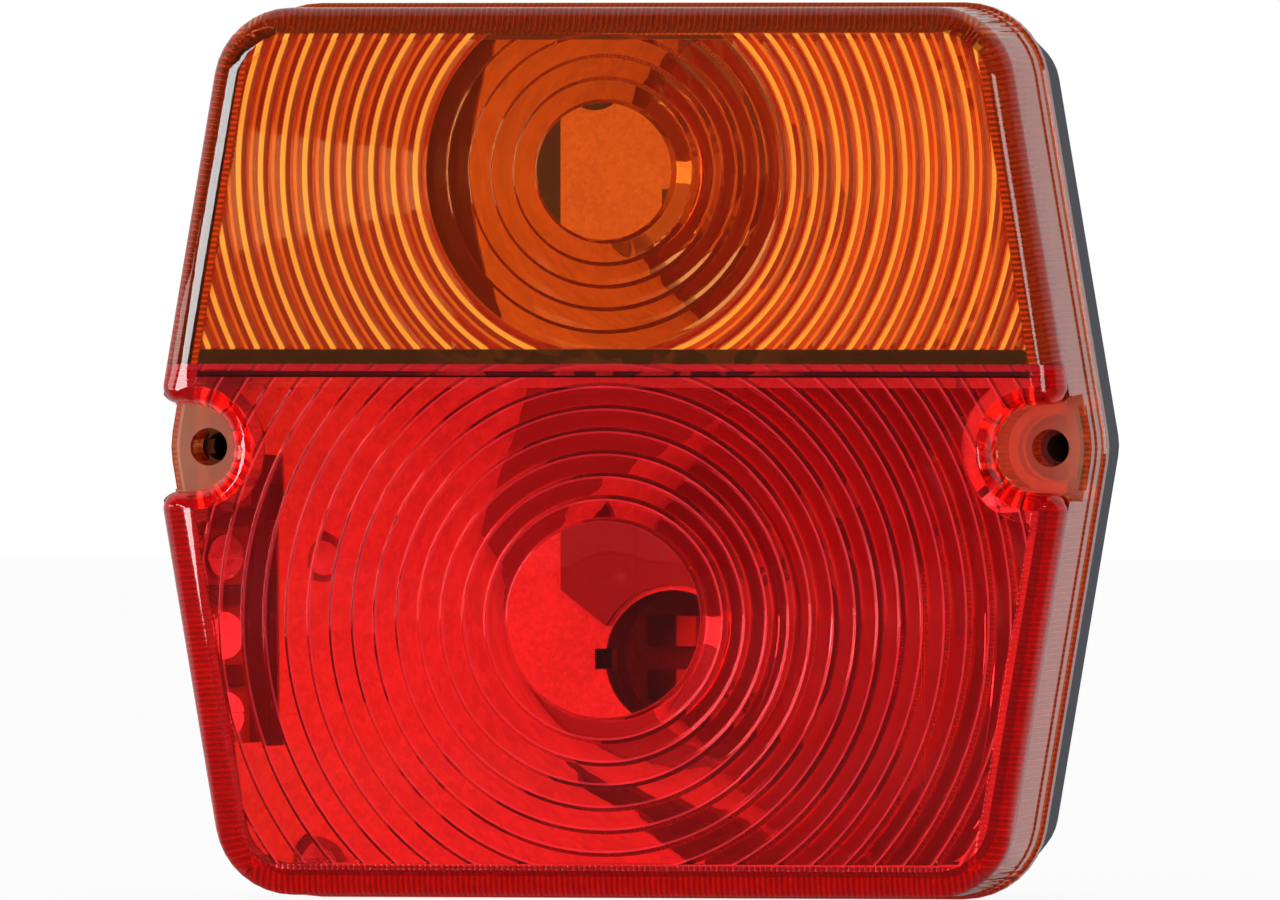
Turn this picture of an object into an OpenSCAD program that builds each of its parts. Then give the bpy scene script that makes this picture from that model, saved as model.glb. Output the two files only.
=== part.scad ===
// Tail light cluster: a two-colour lens on a deep black housing.
// The lamp faces -Y with +Z up. The origin is the middle of the mounting face,
// level with the two lens screws. Inside the modules a shape is drawn as seen
// from the front (x to the right, y up), and z counts forward from the mounting face.

/* [Outline] */
// Width of the lens across the screw ears
lens_w = 104.2; // [102:0.2:110]
// Height of the lens above the screw ears
rise_above = 48.9; // [46:0.1:52]
// Height of the lens below the screw ears
drop_below = 49.7; // [46:0.1:52]
// Lean of the sides from upright, in degrees
side_lean = 9.55; // [8:0.05:11]
// Radius of the four corners
corner_r = 8.8; // [6.5:0.1:9.5]
// Radius that eases the bend of the sides at the ears
waist_r = 10; // [6:0.5:14]

/* [Lens] */
// Depth of the lens from its flange to its face
lens_d = 21.5; // [20:0.5:25]
// Thickness of the windows
window_t = 2.5; // [2.3:0.1:3]
// Thickness of the skirt
skirt_t = 2.2; // [2:0.1:2.6]
// How much the skirt thickens on its way to the face
skirt_draft = 0.7; // [0.5:0.1:0.9]
// Rounding of the front edge
edge_r = 3; // [2.6:0.1:3.4]
// Depth of the red rim behind the face
red_rim_d = 3.8; // [3.6:0.1:4.4]
// Height of the joint of red and amber above the ears
joint_z = 9.3; // [9:0.1:10]
// How far the flange stands out past the face
flange_out = 0.6; // [0.5:0.05:0.8]
// Height of the flange's outer band
flange_t = 1.7; // [1.4:0.1:2.2]
// Depth of the second, finer step of the skirt behind the face
step_d = 15.5; // [14:0.1:16.5]

/* [Screw ears] */
// Distance of the lens screw holes from the sides of the lens
ear_inset = 4.5; // [4.2:0.1:4.7]
// Radius of the lens screw holes
ear_hole_r = 2.1; // [1.9:0.05:2.3]
// Depth of the screw seats behind the face
seat_d = 11.8; // [10.5:0.1:13]
// Half height of the notch that leads to a seat
notch_r = 4.7; // [4.4:0.1:5]
// Length of the screw hole in the ear
ear_l = 7; // [5.5:0.1:8]
// Radius of the notch's tips
tip_r = 1.9; // [1.5:0.1:2.1]
// Thickness of the ear under a screw seat
ear_t = 2.5; // [2:0.1:3]
// Wall of the tube that the screw passes through
ear_tube_t = 1.8; // [1.6:0.1:2]
// Bevel round the outside of a seat
seat_bevel = 1; // [0.6:0.1:1.2]

/* [Optics] */
// How far left of the middle the optics are centred
optic_x = -0.9; // [-2:0.1:0]
// Height of the amber optic above the ears
amber_optic_z = 30.7; // [29:0.1:32]
// Drop of the red optic below the ears
red_optic_z = -19; // [-21:0.1:-17]
// Radius of the plain disc of the amber optic
amber_disc_r = 7.6; // [7:0.1:8.5]
// Radius of the plain disc of the red optic
red_disc_r = 10.9; // [10:0.1:11.5]
// Distance from one ring to the next
ring_pitch = 2.5; // [2.4:0.05:2.8]
// Radius at which the amber optic changes from steps to ridges
ridge_start_r = 18.4; // [17.5:0.1:19.5]
// Height of a ring's step
ring_h = 1.7; // [1.4:0.05:1.8]
// Width of the steep side of a step
riser_w = 0.45; // [0.3:0.05:0.6]
// Width of a ridge
ridge_w = 0.9; // [0.7:0.05:1.1]
// Height of a ridge
ridge_h = 0.5; // [0.4:0.05:0.6]
// Height of the slope between two ridges
ridge_slope_h = 0.4; // [0.2:0.05:0.5]
// Clear border between the rings and the edge of the lens
optic_margin = 3.6; // [3.4:0.1:4.2]
// Width of the plain field that a fine groove frames on the red face
field_w = 32.5; // [30:0.5:34]
// Height of that field
field_h = 39.4; // [36:0.2:41]
// How far right of the middle the field begins
field_x = 3; // [2:0.1:4]
// Drop of the field's top below the ears
field_y = -0.6; // [-2:0.1:0]
// Width of the groove round the field
field_line = 0.35; // [0.25:0.05:0.5]

/* [Housing] */
// Depth of the housing from the mounting face to the flange of the lens
housing_d = 28; // [26:0.5:32]
// Thickness of the housing's side walls
wall_t = 2; // [1.6:0.1:2.4]
// Thickness of the housing's back
back_t = 2.5; // [2:0.1:3]
// How much narrower the back is than the rim, on each side
housing_taper = 3.3; // [3:0.1:4.6]
// Rounding of the back edge
back_edge_r = 1.6; // [1:0.1:2]
// Thickness of the seal
seal_t = 1; // [0.8:0.1:1.4]
// Thickness of the wall between the chambers
divider_t = 1.5; // [1.2:0.1:1.8]
// Radius of the lens screw bosses
boss_r = 3.6; // [3.4:0.1:3.9]
// Radius of the pilot holes for the lens screws
pilot_r = 1.6; // [1.4:0.05:1.7]
// Depth of the pilot holes
pilot_l = 12; // [10:0.5:14]
// Radius of the drain hole
drain_r = 1.5; // [1:0.1:2]

/* [Mounting] */
// Distance of the mounting bolts from the sides of the lens
stud_inset = 27.1; // [26:0.1:29]
// Radius of the mounting bolts
stud_r = 3; // [2.9:0.05:3.1]
// Radius of the bolts' necks in the housing's back
neck_r = 3.4; // [3.3:0.05:3.6]
// Length of the bolts behind the mounting face
stud_l = 16; // [12:0.5:24]
// Width of the bolts' hexagon heads across flats
stud_af = 10; // [9:0.5:11]
// Height of the bolts' heads
stud_head_h = 4; // [3.5:0.1:4.5]
// Radius of the pads under the bolts' heads
pad_r = 7; // [6.7:0.1:7]
// Height of the pads above the housing's floor
pad_h = 3; // [2.5:0.1:3.5]
// Radius of the cable's way through the grommet
cable_r = 3.5; // [3:0.1:4]
// Radius of the grommet's hole in the back
grommet_r = 5.5; // [5:0.1:6]
// How far the grommet's lips reach past its hole
grommet_lip = 1.5; // [1:0.1:2]
// Thickness of the grommet's lips
grommet_lip_t = 1.6; // [1.2:0.1:2]

/* [Bulb carriers] */
// Thickness of the carriers' sheet steel
sheet_t = 1; // [0.8:0.1:1.2]
// Gap between the housing's back and the lowest contact
floor_gap = 1.9; // [1.6:0.1:2.4]
// Left edge of the indicator carrier
carrier_left = -10.9; // [-13:0.1:-10]
// Distance of the indicator carrier's right edge from the side of the lens
carrier_inset = 18.1; // [16:0.1:20]
// Gap between a carrier and the housing around it
carrier_gap = 0.8; // [0.5:0.1:1.2]
// How far right of the middle the indicator socket sits
indicator_x = 9.5; // [8.5:0.1:10.5]
// How far right of the middle the stop and tail socket sits
stop_tail_x = 1.7; // [1:0.1:2.5]
// Drop of the stop and tail socket below the ears
stop_tail_y = -23.8; // [-24.6:0.1:-23]
// Inner radius of the sockets
socket_r = 7.7; // [7.5:0.05:7.9]
// Thickness of the sockets' wall
socket_t = 0.6; // [0.5:0.05:0.8]
// Length of the sockets behind their flange
socket_l = 11; // [10:0.5:12]
// Width of the sockets' flange
socket_flange = 2.2; // [1.8:0.1:2.6]
// Width of the bayonet slots
slot_w = 2.3; // [2.1:0.1:2.6]
// Depth of the bayonet slots
slot_l = 6; // [5:0.5:7]
// Radius of the screws that hold the carriers
screw_r = 1.4; // [1.2:0.05:1.6]
// Radius of those screws' heads
screw_head_r = 2.9; // [2.6:0.1:3.2]
// Height of those screws' heads
screw_head_h = 2; // [1.6:0.1:2.2]
// Length of those screws' shanks
screw_l = 9; // [7:0.5:10]
// Radius of the housing's columns under those screws
column_r = 3.1; // [2.9:0.1:3.4]
// Radius of the rivets
rivet_r = 1; // [0.9:0.05:1.1]

/* [Contacts] */
// Thickness of the contact boards
board_t = 1.5; // [1.2:0.1:1.8]
// Width of the contact boards
board_w = 21; // [20:0.5:23]
// Height of the contact boards
board_h = 20.6; // [20:0.2:22]
// Thickness of the contact springs
leaf_t = 0.5; // [0.4:0.05:0.6]
// Width of the contact springs
leaf_w = 3.4; // [3:0.1:3.6]
// Height of the contact springs' arch above their board
leaf_arch = 3.5; // [3:0.1:4]
// Distance between neighbouring terminals, and between the stop and the tail contact
terminal_pitch = 6; // [5.8:0.1:6.2]
// Gap between the terminal block and the housing's side
terminal_gap = 0.8; // [0.5:0.1:1.2]
// Width of the terminal block
terminal_w = 9; // [8.5:0.1:9.2]
// Height of the terminal block above the housing's floor
terminal_h = 9; // [8.5:0.1:10]
// Width of a terminal clamp
clamp_w = 5; // [4.8:0.1:5.4]
// Height of a terminal clamp along the row
clamp_h = 4.4; // [4:0.1:4.6]
// Depth of a terminal clamp
clamp_d = 4.5; // [4:0.1:5]
// Radius of the clamps' wire holes
wire_r = 1.2; // [1:0.05:1.4]
// Radius of the terminal screws
clamp_screw_r = 0.9; // [0.8:0.05:1]

/* [Hidden] */
$fn = 64;
arc_steps = 8;                          // flats in a corner of an outline
slip = 0.1;                             // clearance of pieces that slide together
ring_floor = 0.1;                       // least height of the rings on their window
sink = 0.4;                             // how far a rib or boss is let into its wall
half_w = lens_w / 2;
slope = tan(side_lean);
flange_z = housing_d;
face_z = housing_d + lens_d;
joint_plane = face_z - red_rim_d;
seat_z = face_z - seat_d;
rim_z = housing_d - seal_t;
ear_x = half_w - ear_inset;
ear_span = 2 * ear_x;                   // between the two lens screw holes
stud_span = lens_w - 2 * stud_inset;    // between the two mounting bolts
carrier_right = half_w - carrier_inset;
ear_back_z = seat_z - ear_l;
skirt_in = skirt_t - flange_out;        // inset of the skirt's inner wall at the flange
cavity_in = skirt_t + skirt_draft;      // and at the window
rim_in = -flange_out / 2;               // inset of the housing's outside at its rim
board_z = back_t + floor_gap + leaf_t + board_t;  // front of the stop and tail board
indicator_board_z = board_z + sheet_t;  // front of the indicator board
plate_z = indicator_board_z + socket_l + socket_t;  // front of the stop and tail carrier
carrier_z = plate_z + sheet_t;          // front of the indicator carrier
divider_top = joint_z + slip + divider_t;
lug_reach = socket_r + socket_t + 2;    // from a socket's middle to the rivets of its board
lug_turn = 45;                          // their direction, clear of the contact springs
window_back = face_z - window_t;
ring_reach = norm([half_w, rise_above]);
indicator_at = [indicator_x, (divider_top + rise_above - taper_at(back_t) - wall_t) / 2];
stop_tail_at = [stop_tail_x, stop_tail_y];

// The rows of the terminals from the top, for the indicator, the ground, stop and tail,
// with the height of the back of the strip that each clamp holds
terminal_rows = [for (k = [2.5 : -1 : -0.5]) stop_tail_y + k * terminal_pitch];
terminal_low = terminal_rows[3] - terminal_pitch / 2;
terminal_x = terminal_gap + terminal_w / 2 + wall_t - half_at(terminal_low, taper_at(back_t));
bar_z = [for (z = [indicator_board_z, board_z, board_z, board_z]) z - board_t - leaf_t];
bar_end = terminal_x - clamp_w / 2;
contact_rows = [terminal_pitch / 2, -terminal_pitch / 2];
leaf_root = 5;                          // where a contact spring passes its board
tail_turn = -7.7;                       // where the indicator's tail runs down

// Places of the screws, the post and the rivets, to the right and up
screw_in = 4;                           // from the indicator carrier's edges to its screws
top_screw_drop = 9.4;                   // from the lens's top edge to the upper one
low_screw_in = [22.1, 9.7];             // from the lens's sides and foot to the low screws
side_screw = [13.6, 7];                 // from the lens's side and below the ears
indicator_screws = [for (y = [rise_above - top_screw_drop, divider_top + screw_in + slip])
    [carrier_right - screw_in, y]];
stop_tail_screws = [[low_screw_in.x - half_w, low_screw_in.y - drop_below],
                    [half_w - low_screw_in.x, low_screw_in.y - drop_below],
                    [half_w - side_screw.x, -side_screw.y]];
post_x = -7.1;
post_drop = 7.7;                        // from the lens's top edge to the post
locating_post = [post_x, rise_above - post_drop];
post_r = 3.3;
column_floor = 2;                       // solid foot of a column under its pilot hole
carrier_chamfer = 4;                    // cut-off corner of the indicator carrier
lap_rivet_x = -6;                       // the left rivet that joins the two carriers
lap_rivets = [[lap_rivet_x, 0], [carrier_right - 2 * screw_in, 0]];
ground_rivet_in = 5;                    // from the terminal block to the ground rivet
ground_rivet = [terminal_x + terminal_w / 2 + ground_rivet_in, terminal_rows[1]];
rivet_head_t = 0.6;
lug_end = 2;                            // what a socket's lug has past its rivet
lugs = [for (s = [-1, 1]) turned([s * lug_reach, 0], lug_turn)];
ground_bend = 2.5;                      // from the ground rivet to the strip's bend

// Turns a drawing seen from the front into the lamp's own frame
module facing() { rotate([90, 0, 0]) children(); }

// Half width of the hexagon at a height, moved in from the outline by inset
function half_at(y, inset) = half_w - slope * abs(y) - inset / cos(side_lean);

// Inset of the housing's outside at a height above the mounting face
function taper_at(z) = rim_in + housing_taper * (rim_z - z) / rim_z;

function unit(v) = v / norm(v);
function cross2(a, b) = a.x * b.y - a.y * b.x;
function turned(v, a) = [v.x * cos(a) - v.y * sin(a), v.x * sin(a) + v.y * cos(a)];

// Corner of two edges after each has moved to its left by i and by j
function meet(p, u, i, q, v, j) =
    let (a = p + [-u.y, u.x] * i, b = q + [-v.y, v.x] * j)
    a + u * cross2(b - a, v) / cross2(u, v);

// Arc of radius r that rounds corner v between directions u and w
function arc_points(v, u, w, r) =
    let (phi = atan2(cross2(u, w), u * w),
         side = [-u.y, u.x] * sign(phi),
         start = v - u * r * tan(abs(phi) / 2),
         steps = max(1, ceil(arc_steps * abs(phi) / 90)))
    [for (k = [0 : steps]) start + side * r - turned(side, phi * k / steps) * r];

// The right half of an outline from top to bottom. Each corner is
// [x, y, radius, share of the inset taken by the edge above it]; the last entry
// gives the share of the bottom edge. The top edge is the first one.
function right_side(corners, inset) =
    let (n = len(corners) - 1,
         p = concat([[0, corners[0].y]], [for (c = corners) [c.x, c.y]]),
         share = [for (c = corners) c[3]],
         dir = [for (i = [0 : n]) unit(p[i + 1] - p[i])],
         moved = [for (i = [0 : n - 1])
             meet(p[i], dir[i], -inset * share[i], p[i + 1], dir[i + 1], -inset * share[i + 1])])
    [for (i = [0 : n - 1])
        let (convex = cross2(dir[i], dir[i + 1]) < 0,
             grow = inset * (share[i] + share[i + 1]) / 2,
             r = convex ? corners[i][2] - grow : corners[i][2] + grow)
        each corners[i][2] == 0 ? [moved[i]]
            : arc_points(moved[i], dir[i], dir[i + 1], max(r, 0.1))];

// Both halves of an outline as one ring of points
function ring(corners, inset) =
    let (right = right_side(corners, inset), n = len(right))
    concat(right, [for (k = [0 : n - 1]) [-right[n - 1 - k].x, right[n - 1 - k].y]]);

module flat_outline(corners, inset) { polygon(ring(corners, inset)); }

// A solid through the same outline at several levels: each is [height, inset]
module loft(corners, levels) {
    rings = [for (l = levels) [for (p = ring(corners, l[1])) [p.x, p.y, l[0]]]];
    n = len(rings[0]);
    top = n * (len(levels) - 1);
    polyhedron(
        points = [for (r = rings) each r],
        faces = concat(
            [for (l = [0 : len(levels) - 2], k = [0 : n - 1])
                let (a = l * n + k, b = l * n + (k + 1) % n) [a, b, b + n, a + n]],
            [for (k = [0 : n / 2 - 2]) [k, n - 1 - k, n - 2 - k, k + 1]],
            [for (k = [0 : n / 2 - 2])
                [top + k + 1, top + n - 2 - k, top + n - 1 - k, top + k]]));
}

top_x = half_at(rise_above, 0);
bottom_x = half_at(drop_below, 0);
body_corners = [[top_x, rise_above, corner_r, 1], [half_w, 0, waist_r, 1],
                [bottom_x, -drop_below, corner_r, 1], [0, -drop_below, 0, 1]];

// The red window: its top edge is the joint, and each side has a notch round the ear
notch_lean = 0.25;                      // the notch widens by this much towards its mouth
notch_share = 0.6;                      // its edge is rounded less than the outer one
joint_share = 0.5;                      // inside, the walls at the joint and round the
notch_wall_share = 0.7;                 // notches are thinner than the skirt
notch_in = ear_x - notch_r;
tip_y = notch_r + notch_lean;
red_corners = [[half_at(joint_z, 0), joint_z, 0, 0],
               [half_at(tip_y, 0), tip_y, tip_r, 1],
               [notch_in, notch_r, notch_r - 0.1, notch_share],
               [notch_in, -notch_r, notch_r - 0.1, notch_share],
               [half_at(tip_y, 0), -tip_y, tip_r, notch_share],
               [bottom_x, -drop_below, corner_r, 1], [0, -drop_below, 0, 1]];
red_inside = [for (i = [0 : len(red_corners) - 1])
    let (c = red_corners[i])
    [c.x, c.y, c[2], i == 0 ? joint_share : i > 1 && i < 5 ? notch_wall_share : 1]];

// Levels of the rounded front edge, from the side wall to the face
edge_levels = [for (a = [0 : 15 : 90]) [face_z - edge_r * (1 - sin(a)), edge_r * (1 - cos(a))]];

// Copies its children to both ends of a centred span
module both(span) { for (s = [-1, 1]) translate([s * span / 2, 0, 0]) children(); }

// The air of one notch, open to the side, with the same rounded tips as the red window
module notch_air() {
    shares = [for (c = red_corners) [c.x, c.y, c[2], abs(c.y) < joint_z && c.x < half_w - notch_r
        || c.y < 0 && abs(c.y) < joint_z ? 0 : 1]];
    edge = [for (p = right_side(shares, -flange_out)) if (abs(p.y) < joint_z - 0.5) p];
    last = len(edge) - 1;
    polygon(concat(edge, [[lens_w, edge[last].y], [lens_w, edge[0].y]]));
}

// The ground that an ear and its notch's wall stand on, grown outwards by more
module notch_shape(more) {
    translate([ear_x, 0]) {
        circle(notch_r + more);
        translate([0, -notch_r - more]) square([half_w, 2 * (notch_r + more)]);
    }
}

// Rings on the back of a window: steps up to ridge_r, which bend the view like one thick
// lens, and from there narrow ridges that throw light back, with a faint slope between them
module rings(first_r, last_r, ridge_r) {
    count = floor((last_r - first_r) / ring_pitch);
    rotate_extrude()
        polygon(concat(
            [[first_r, sink]],
            [for (k = [0 : count])
                let (r = first_r + k * ring_pitch)
                each r < ridge_r
                    ? [[r, -ring_floor], [r + riser_w, -ring_h]]
                    : [[r, -ring_floor], [r + ridge_w / 2, -ring_floor - ridge_h],
                       [r + ridge_w, -ring_floor],
                       [r + ridge_w + slip, -ring_floor - ridge_slope_h]]],
            [[first_r + (count + 1) * ring_pitch, -ring_floor],
             [first_r + (count + 1) * ring_pitch, sink]]));
}

// The field of a window that carries rings, between two heights
module ring_field(low, high) {
    intersection() {
        flat_outline(body_corners, optic_margin);
        translate([-half_w, low]) square([lens_w, high - low]);
    }
}

module amber_optic() {
    intersection() {
        translate([optic_x, amber_optic_z, window_back])
            rings(amber_disc_r, ring_reach, ridge_start_r);
        translate([0, 0, window_back - ring_h - 1])
            linear_extrude(ring_h + 2) ring_field(divider_top + 2 * slip, rise_above);
    }
}

module amber_lens() {
    color("darkorange") facing() difference() {
        union() {
            difference() {
                loft(body_corners, concat(
                    [[flange_z, -flange_out], [flange_z + flange_t, -flange_out],
                     [flange_z + flange_t + 0.1, -flange_out / 2],
                     [face_z - step_d, -flange_out / 2],
                     [face_z - step_d + 0.1, -flange_out / 4]], edge_levels));
                loft(body_corners, [[flange_z - 1, skirt_in], [window_back, cavity_in]]);
            }
            ear_blocks();
            amber_optic();
        }
        amber_cut_for_red();
        for (s = [0, 1]) mirror([s, 0, 0])
            translate([0, 0, seat_z]) linear_extrude(lens_d) notch_air();
        seat_bevels();
        both(ear_span) translate([0, 0, ear_back_z - 1]) cylinder(r = ear_hole_r, h = lens_d);
    }
}

// The ears: a seat, a screw tube under it and the wall of the notch in front of it
module ear_blocks() {
    intersection() {
        union() {
            for (s = [0, 1]) mirror([s, 0, 0])
                translate([0, 0, seat_z - ear_t]) linear_extrude(face_z - seat_z)
                    notch_shape(skirt_t);
            both(ear_span) translate([0, 0, ear_back_z])
                cylinder(r = ear_hole_r + ear_tube_t, h = ear_l);
        }
        translate([0, 0, flange_z]) linear_extrude(lens_d) flat_outline(body_corners, slip);
    }
}

// Bevels the outer edge of both seats
module seat_bevels() {
    difference() {
        translate([-lens_w, -notch_r, seat_z - seat_bevel]) cube([2 * lens_w, 2 * notch_r, 2 * seat_bevel]);
        loft(body_corners, [[seat_z - 2 * seat_bevel, -seat_bevel],
                            [seat_z + 2 * seat_bevel, 3 * seat_bevel]]);
    }
}

// Room for the red window in front of the amber skirt
module amber_cut_for_red() {
    translate([-lens_w, -2 * drop_below, joint_plane])
        cube([2 * lens_w, 2 * drop_below + joint_z, lens_d]);
}

module red_lens() {
    color("firebrick") facing() {
        difference() {
            loft(red_corners, concat([[joint_plane, 0]], edge_levels));
            loft(red_inside, [[joint_plane - 1, skirt_t], [window_back, cavity_in]]);
            field_groove();
        }
        red_optic();
    }
}

// A fine groove round the plain field on the red face
module field_groove() {
    translate([field_x, field_y - field_h, face_z - field_line / 3])
        linear_extrude(1) difference() {
            rounded_field(0);
            rounded_field(field_line);
        }
}

module rounded_field(inset) {
    r = 3 * edge_r / 4;
    translate([inset, r]) square([field_w - 2 * inset, field_h - 2 * r]);
    translate([r, inset]) square([field_w - 2 * r, field_h - 2 * inset]);
    for (x = [r, field_w - r], y = [r, field_h - r]) translate([x, y]) circle(r - inset);
}

module red_optic() {
    intersection() {
        translate([optic_x, red_optic_z, window_back])
            rings(red_disc_r, ring_reach, ring_reach + 1);
        difference() {
            translate([0, 0, window_back - ring_h - 1])
                linear_extrude(ring_h + 2) ring_field(-drop_below, joint_z - optic_margin + 1);
            for (s = [0, 1]) mirror([s, 0, 0])
                translate([0, 0, window_back - 2 * ring_h - 1]) linear_extrude(3 * ring_h + 2)
                    notch_shape(optic_margin);
        }
    }
}

module lens_seal() {
    color("dimgray") facing() translate([0, 0, rim_z]) linear_extrude(seal_t) difference() {
        flat_outline(body_corners, rim_in);
        flat_outline(body_corners, rim_in + wall_t);
    }
}

module housing_outside(top) {
    loft(body_corners, concat(
        [for (a = [0 : 30 : 90])
            let (z = back_edge_r * (1 - cos(a)))
            [z, taper_at(z) + back_edge_r * (1 - sin(a))]],
        [[top, taper_at(top)]]));
}

module housing() {
    color("darkslategray") facing() difference() {
        union() {
            difference() {
                housing_outside(rim_z);
                loft(body_corners, [for (z = [back_t, rim_z + 1]) [z, taper_at(z) + wall_t]]);
            }
            divider();
            lens_screw_bosses();
            carrier_columns();
            both(stud_span) translate([0, 0, back_t - sink]) cylinder(r = pad_r, h = pad_h + sink);
        }
        both(ear_span) translate([0, 0, ear_back_z - pilot_l]) cylinder(r = pilot_r, h = pilot_l + 1);
        both(stud_span) {
            translate([0, 0, -1]) cylinder(r = neck_r + slip, h = lens_d);
            translate([0, 0, back_t + pad_h - stud_head_h])
                cylinder(r = (stud_af + 2 * slip) / 2 / cos(30), h = lens_d, $fn = 6);
        }
        translate([0, 0, -1]) cylinder(r = grommet_r, h = back_t + 2);
        translate([0, 0, housing_d / 3]) rotate([90, 0, 0]) cylinder(r = drain_r, h = drop_below);
    }
}

// The wall between the chambers, which stops just behind the amber window
module divider() {
    z_top = window_back - ring_h - slip;
    low_w = half_at(divider_top, taper_at(back_t)) - wall_t + sink;
    rim_w = half_at(divider_top, taper_at(rim_z)) - wall_t + sink;
    lens_half = half_at(divider_top, cavity_in) - sink;
    difference() {
        translate([0, divider_top, 0]) rotate([90, 0, 0]) linear_extrude(divider_t)
            polygon([[-low_w, back_t - sink], [low_w, back_t - sink], [rim_w, rim_z],
                     [lens_half, rim_z], [lens_half, z_top], [-lens_half, z_top],
                     [-lens_half, rim_z], [-rim_w, rim_z]]);
        translate([carrier_left - slip, joint_z - 1, plate_z - slip])
            cube([carrier_right - carrier_left + 2 * slip, divider_t + 2, sheet_t + 2 * slip]);
        translate([tail_turn - leaf_w / 2 - slip, joint_z - 1, bar_z[0] - slip])
            cube([leaf_w + 2 * slip, divider_t + 2, leaf_t + 2 * slip]);
    }
}

// Bosses for the lens screws, in the corners of the housing, up to the ears
module lens_screw_bosses() {
    intersection() {
        both(ear_span) translate([0, 0, back_t]) cylinder(r = boss_r, h = ear_back_z - back_t);
        union() {
            housing_outside(rim_z);
            translate([0, 0, rim_z - sink]) linear_extrude(lens_d)
                flat_outline(body_corners, cavity_in);
        }
    }
}

module carrier_columns() {
    for (p = indicator_screws) column(p, plate_z);
    for (p = stop_tail_screws) column(p, plate_z - sheet_t);
    translate([locating_post.x, locating_post.y, back_t - sink])
        cylinder(r = post_r, h = carrier_z - sheet_t / 2 - back_t + sink);
}

module column(p, top) {
    translate([p.x, p.y, back_t - sink]) difference() {
        cylinder(r = column_r, h = top - back_t + sink);
        translate([0, 0, sink + column_floor]) cylinder(r = screw_r + slip, h = top);
    }
}

module cable_grommet() {
    color("black") facing() rotate_extrude()
        polygon([[cable_r, -grommet_lip_t], [grommet_r, -grommet_lip_t],
                 [grommet_r + grommet_lip, -grommet_lip_t / 2], [grommet_r + grommet_lip, 0],
                 [grommet_r, 0], [grommet_r, back_t], [grommet_r + grommet_lip, back_t],
                 [grommet_r, back_t + grommet_lip_t], [cable_r, back_t + grommet_lip_t]]);
}

module mounting_bolts() {
    head_z = back_t + pad_h - stud_head_h;
    color("silver") facing() both(stud_span) {
        translate([0, 0, -stud_l]) cylinder(r = stud_r, h = stud_l + sink);
        cylinder(r = neck_r, h = head_z + sink);
        translate([0, 0, head_z]) cylinder(r = stud_af / 2 / cos(30), h = stud_head_h, $fn = 6);
    }
}

// The hole for a bulb's cap with the two slots of its bayonet
module bulb_hole(r) {
    circle(r);
    square([2 * (r + 1.2), slot_w], center = true);
}

// The upper carrier: it reaches through the divider, and its foot is cut slantwise to the
// stop and tail socket and laps over the lower carrier
module indicator_carrier() {
    high = rise_above - taper_at(plate_z) - wall_t - carrier_gap;
    low = stop_tail_at.y + socket_r;
    notch = post_r + 4 * slip;
    color("goldenrod") facing() translate([0, 0, plate_z]) linear_extrude(sheet_t) difference() {
        polygon([[carrier_left, low], [carrier_left, high],
                 [carrier_right - carrier_chamfer, high], [carrier_right, high - carrier_chamfer],
                 [carrier_right, low], [stop_tail_at.x + 2 * socket_r, low - socket_r],
                 stop_tail_at, stop_tail_at + [-socket_r, socket_r / 2]]);
        translate(indicator_at) bulb_hole(socket_r);
        translate(stop_tail_at) bulb_hole(socket_r + socket_t);
        translate(locating_post) circle(notch);
        translate(locating_post - [notch, 0]) square(2 * notch);
        for (p = indicator_screws) translate(p) circle(screw_r + 2 * slip);
        for (p = lap_rivets) translate(p) circle(rivet_r);
    }
}

// The lower carrier fills the stop and tail chamber and has a window over the terminals
module stop_tail_carrier() {
    z = plate_z - sheet_t;
    color("silver") facing() translate([0, 0, z]) linear_extrude(sheet_t) difference() {
        intersection() {
            flat_outline(body_corners, taper_at(z) + wall_t + carrier_gap);
            translate([-half_w, -drop_below]) square([lens_w, drop_below + joint_z - carrier_gap]);
        }
        for (s = [-1, 1]) translate([s * ear_x, 0]) circle(boss_r + carrier_gap);
        translate(stop_tail_at) bulb_hole(socket_r);
        for (p = stop_tail_screws) translate(p) circle(screw_r + 2 * slip);
        for (p = concat(lap_rivets, [ground_rivet])) translate(p) circle(rivet_r);
        translate([terminal_x - terminal_w / 2, terminal_rows[3] - terminal_pitch / 2])
            square([terminal_w, 4 * terminal_pitch]);
    }
}

module carrier_screws() {
    color("silver") facing() {
        for (p = indicator_screws) screw(p, carrier_z);
        for (p = stop_tail_screws) screw(p, plate_z);
    }
}

// A pan head screw on a carrier's front at height z
module screw(p, z) {
    translate([p.x, p.y, z]) {
        difference() {
            rotate_extrude() polygon([[0, 0], [screw_head_r, 0], [screw_head_r, 0.4 * screw_head_h],
                [0.65 * screw_head_r, 0.85 * screw_head_h], [0, screw_head_h]]);
            translate([-screw_head_r, -screw_r / 4, screw_head_h / 2])
                cube([2 * screw_head_r, screw_r / 2, screw_head_h]);
        }
        translate([0, 0, -screw_l]) cylinder(r = screw_r, h = screw_l + slip);
    }
}

module carrier_rivets() {
    color("gainsboro") facing() {
        for (p = lap_rivets) rivet(p, plate_z - sheet_t, carrier_z);
        rivet(ground_rivet, plate_z - sheet_t - leaf_t, plate_z);
    }
}

// A rivet that holds what lies between two levels
module rivet(p, low, high) {
    translate([p.x, p.y, 0]) {
        translate([0, 0, low - rivet_head_t]) cylinder(r = 1.9 * rivet_r, h = rivet_head_t);
        translate([0, 0, low - slip]) cylinder(r = rivet_r - slip / 2, h = high - low + 2 * slip);
        translate([0, 0, high]) cylinder(r1 = 1.9 * rivet_r, r2 = 1.3 * rivet_r, h = rivet_head_t);
    }
}

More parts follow.
